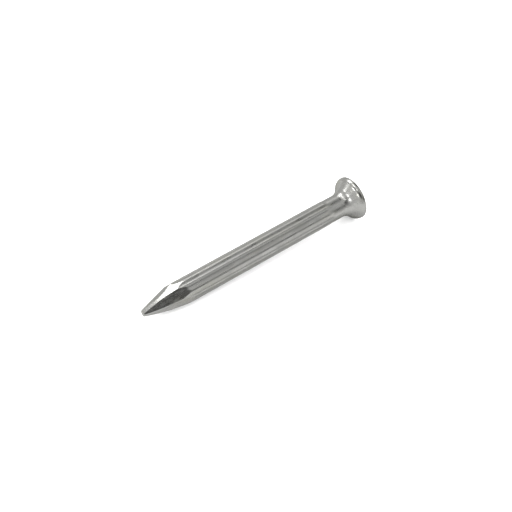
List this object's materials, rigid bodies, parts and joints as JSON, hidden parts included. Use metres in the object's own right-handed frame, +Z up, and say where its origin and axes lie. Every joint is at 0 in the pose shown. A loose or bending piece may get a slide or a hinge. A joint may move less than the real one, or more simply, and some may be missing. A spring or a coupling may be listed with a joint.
{
  "type": "nail",
  "caption": "Straight hardened nail with a fluted shank, a small countersunk head and a faceted diamond point, for driving into masonry or concrete.",
  "frame": {"origin": "centre of the flat struck face of the head", "axes": "+X along the nail from the point to the head, out of the struck face; +Z up with the nail lying down, through one crest between two flutes; front is -Y"},
  "size_m": [0.04, 0.0072, 0.0072],
  "materials": {
    "zinc_head": "bright zinc plate, worn smooth on the struck face and rim",
    "zinc_cone": "bright zinc plate, satin from the heading die",
    "zinc_neck": "bright zinc plate, satin, slightly yellowed",
    "zinc_shank": "bright zinc plate over drawn wire, satin with lengthwise draw marks",
    "zinc_point": "bright zinc plate over smooth pinched faces, brighter than the shank"
  },
  "bodies": {
    "root": {"head": "zinc_head", "countersink": "zinc_cone", "neck": "zinc_neck", "shank": "zinc_shank", "point": "zinc_point"}
  },
  "joints": []
}
